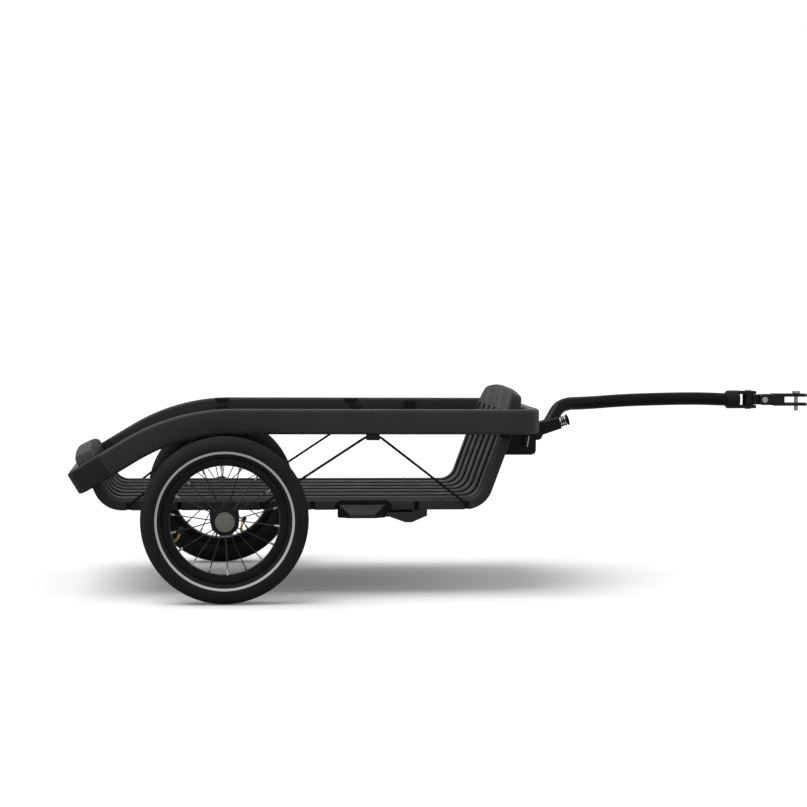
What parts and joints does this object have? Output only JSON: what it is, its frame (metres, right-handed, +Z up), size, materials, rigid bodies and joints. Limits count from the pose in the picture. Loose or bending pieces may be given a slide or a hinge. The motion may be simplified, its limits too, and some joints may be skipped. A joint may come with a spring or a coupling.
{
  "type": "cargo bike trailer",
  "caption": "Two-wheeled flat-deck cargo trailer for a bicycle: tubular side rails bent down at the rear, grooved deck tray, quick-release wheels, folding stand and offset folding tow arm.",
  "frame": {"origin": "on the ground under the middle of the whole trailer's box", "axes": "+X forward to the bicycle, along the longest side; +Y to the trailer's left; +Z up"},
  "size_m": [1.4378, 0.6932, 0.3766],
  "materials": {
    "frame_coat": "satin anthracite powder coat",
    "deck_plastic": "satin dark grey moulding",
    "black_plastic": "matt black moulding",
    "bare_steel": "bright zinc plate",
    "black_steel": "semi-gloss black",
    "arm_coat": "gloss black",
    "cord_rubber": "woven black sleeve over rubber",
    "tyre_rubber": "matt black with a reflective stripe",
    "rim_coat": "satin black",
    "valve_brass": "bright brass stem, black cap",
    "button_plastic": "smooth warm grey"
  },
  "bodies": {
    "frame": {"side_rail_left": "frame_coat", "side_rail_right": "frame_coat", "rear_corner_left": "black_plastic", "rear_corner_right": "black_plastic", "rear_crossbar": "frame_coat", "deck_tray": "deck_plastic", "axle_beam": "frame_coat", "axle_receiver_left": "black_plastic", "axle_receiver_right": "black_plastic", "beam_bolt_left": "bare_steel", "beam_bolt_right": "bare_steel", "cord_clip_middle_left": "black_plastic", "cord_clip_middle_right": "black_plastic", "cord_clip_rear_left": "black_plastic", "cord_clip_rear_right": "black_plastic", "side_cord_middle_left": "cord_rubber", "side_cord_middle_right": "cord_rubber", "side_cord_rear_left": "cord_rubber", "side_cord_rear_right": "cord_rubber", "stand_housing_left": "black_plastic", "stand_housing_right": "black_plastic", "tow_bracket": "black_plastic", "fold_pin": "bare_steel"},
    "parking_stand": {"stand_shaft": "bare_steel", "stand_leg_left": "black_plastic", "stand_leg_right": "black_plastic", "stand_foot_left": "black_plastic", "stand_foot_right": "black_plastic"},
    "tow_arm": {"arm_socket": "black_plastic", "arm_tube": "arm_coat", "coupling_housing": "black_plastic", "yaw_pin": "bare_steel", "lock_spring": "black_steel"},
    "arm_lock": {"lock_pin": "bare_steel", "lock_knob": "black_plastic"},
    "knuckle": {"hitch_knuckle": "black_steel", "pitch_pin": "bare_steel"},
    "clevis": {"hitch_clevis": "black_steel"},
    "locking_pin": {"hitch_pin": "bare_steel"},
    "axle_left": {"wheel_axle_left": "bare_steel"},
    "wheel_left": {"tyre_left": "tyre_rubber", "rim_left": "rim_coat", "hub_left": "black_steel", "bearing_outer_left": "bare_steel", "bearing_inner_left": "bare_steel", "valve_left": "valve_brass"},
    "button_left": {"release_button_left": "button_plastic"},
    "axle_right": {"wheel_axle_right": "bare_steel"},
    "wheel_right": {"tyre_right": "tyre_rubber", "rim_right": "rim_coat", "hub_right": "black_steel", "bearing_outer_right": "bare_steel", "bearing_inner_right": "bare_steel", "valve_right": "valve_brass"},
    "button_right": {"release_button_right": "button_plastic"}
  },
  "joints": [
    {"name": "axle_slide_left", "type": "slide", "parent": "frame", "child": "axle_left", "axis": [0, 1, 0], "range_m": [0, 0.05]},
    {"name": "wheel_spin_left", "type": "hinge", "parent": "axle_left", "child": "wheel_left", "pos_m": [-0.43913, 0.31, 0.1485], "axis": [0, 1, 0], "continuous": true},
    {"name": "button_press_left", "type": "slide", "parent": "axle_left", "child": "button_left", "axis": [0, -1, 0], "range_m": [0, 0.003], "stiffness_N_per_m": 800, "springref_m": -0.003},
    {"name": "axle_slide_right", "type": "slide", "parent": "frame", "child": "axle_right", "axis": [0, -1, 0], "range_m": [0, 0.05]},
    {"name": "wheel_spin_right", "type": "hinge", "parent": "axle_right", "child": "wheel_right", "pos_m": [-0.43913, -0.31, 0.1485], "axis": [0, 1, 0], "continuous": true},
    {"name": "button_press_right", "type": "slide", "parent": "axle_right", "child": "button_right", "axis": [0, 1, 0], "range_m": [0, 0.003], "stiffness_N_per_m": 800, "springref_m": -0.003},
    {"name": "stand_fold", "type": "hinge", "parent": "frame", "child": "parking_stand", "pos_m": [-0.08713, 0, 0.151], "axis": [0, -1, 0], "range_deg": [0, 95]},
    {"name": "arm_fold", "type": "hinge", "parent": "frame", "child": "tow_arm", "pos_m": [0.16187, 0, 0.282], "axis": [0, 1, 0], "range_deg": [0, 125]},
    {"name": "lock_press", "type": "slide", "parent": "tow_arm", "child": "arm_lock", "axis": [-0.9563, 0, -0.2924], "range_m": [0, 0.004], "stiffness_N_per_m": 800, "springref_m": -0.004, "deforming": ["lock_spring"]},
    {"name": "hitch_yaw", "type": "hinge", "parent": "tow_arm", "child": "knuckle", "pos_m": [0.60287, 0.09, 0.3455], "axis": [0, 0, 1], "range_deg": [-55, 55]},
    {"name": "hitch_pitch", "type": "hinge", "parent": "knuckle", "child": "clevis", "pos_m": [0.63287, 0.09, 0.3455], "axis": [0, 1, 0], "range_deg": [-30, 30]},
    {"name": "hitch_pin_pull", "type": "slide", "parent": "clevis", "child": "locking_pin", "axis": [0, 0, 1], "range_m": [0, 0.035]}
  ]
}
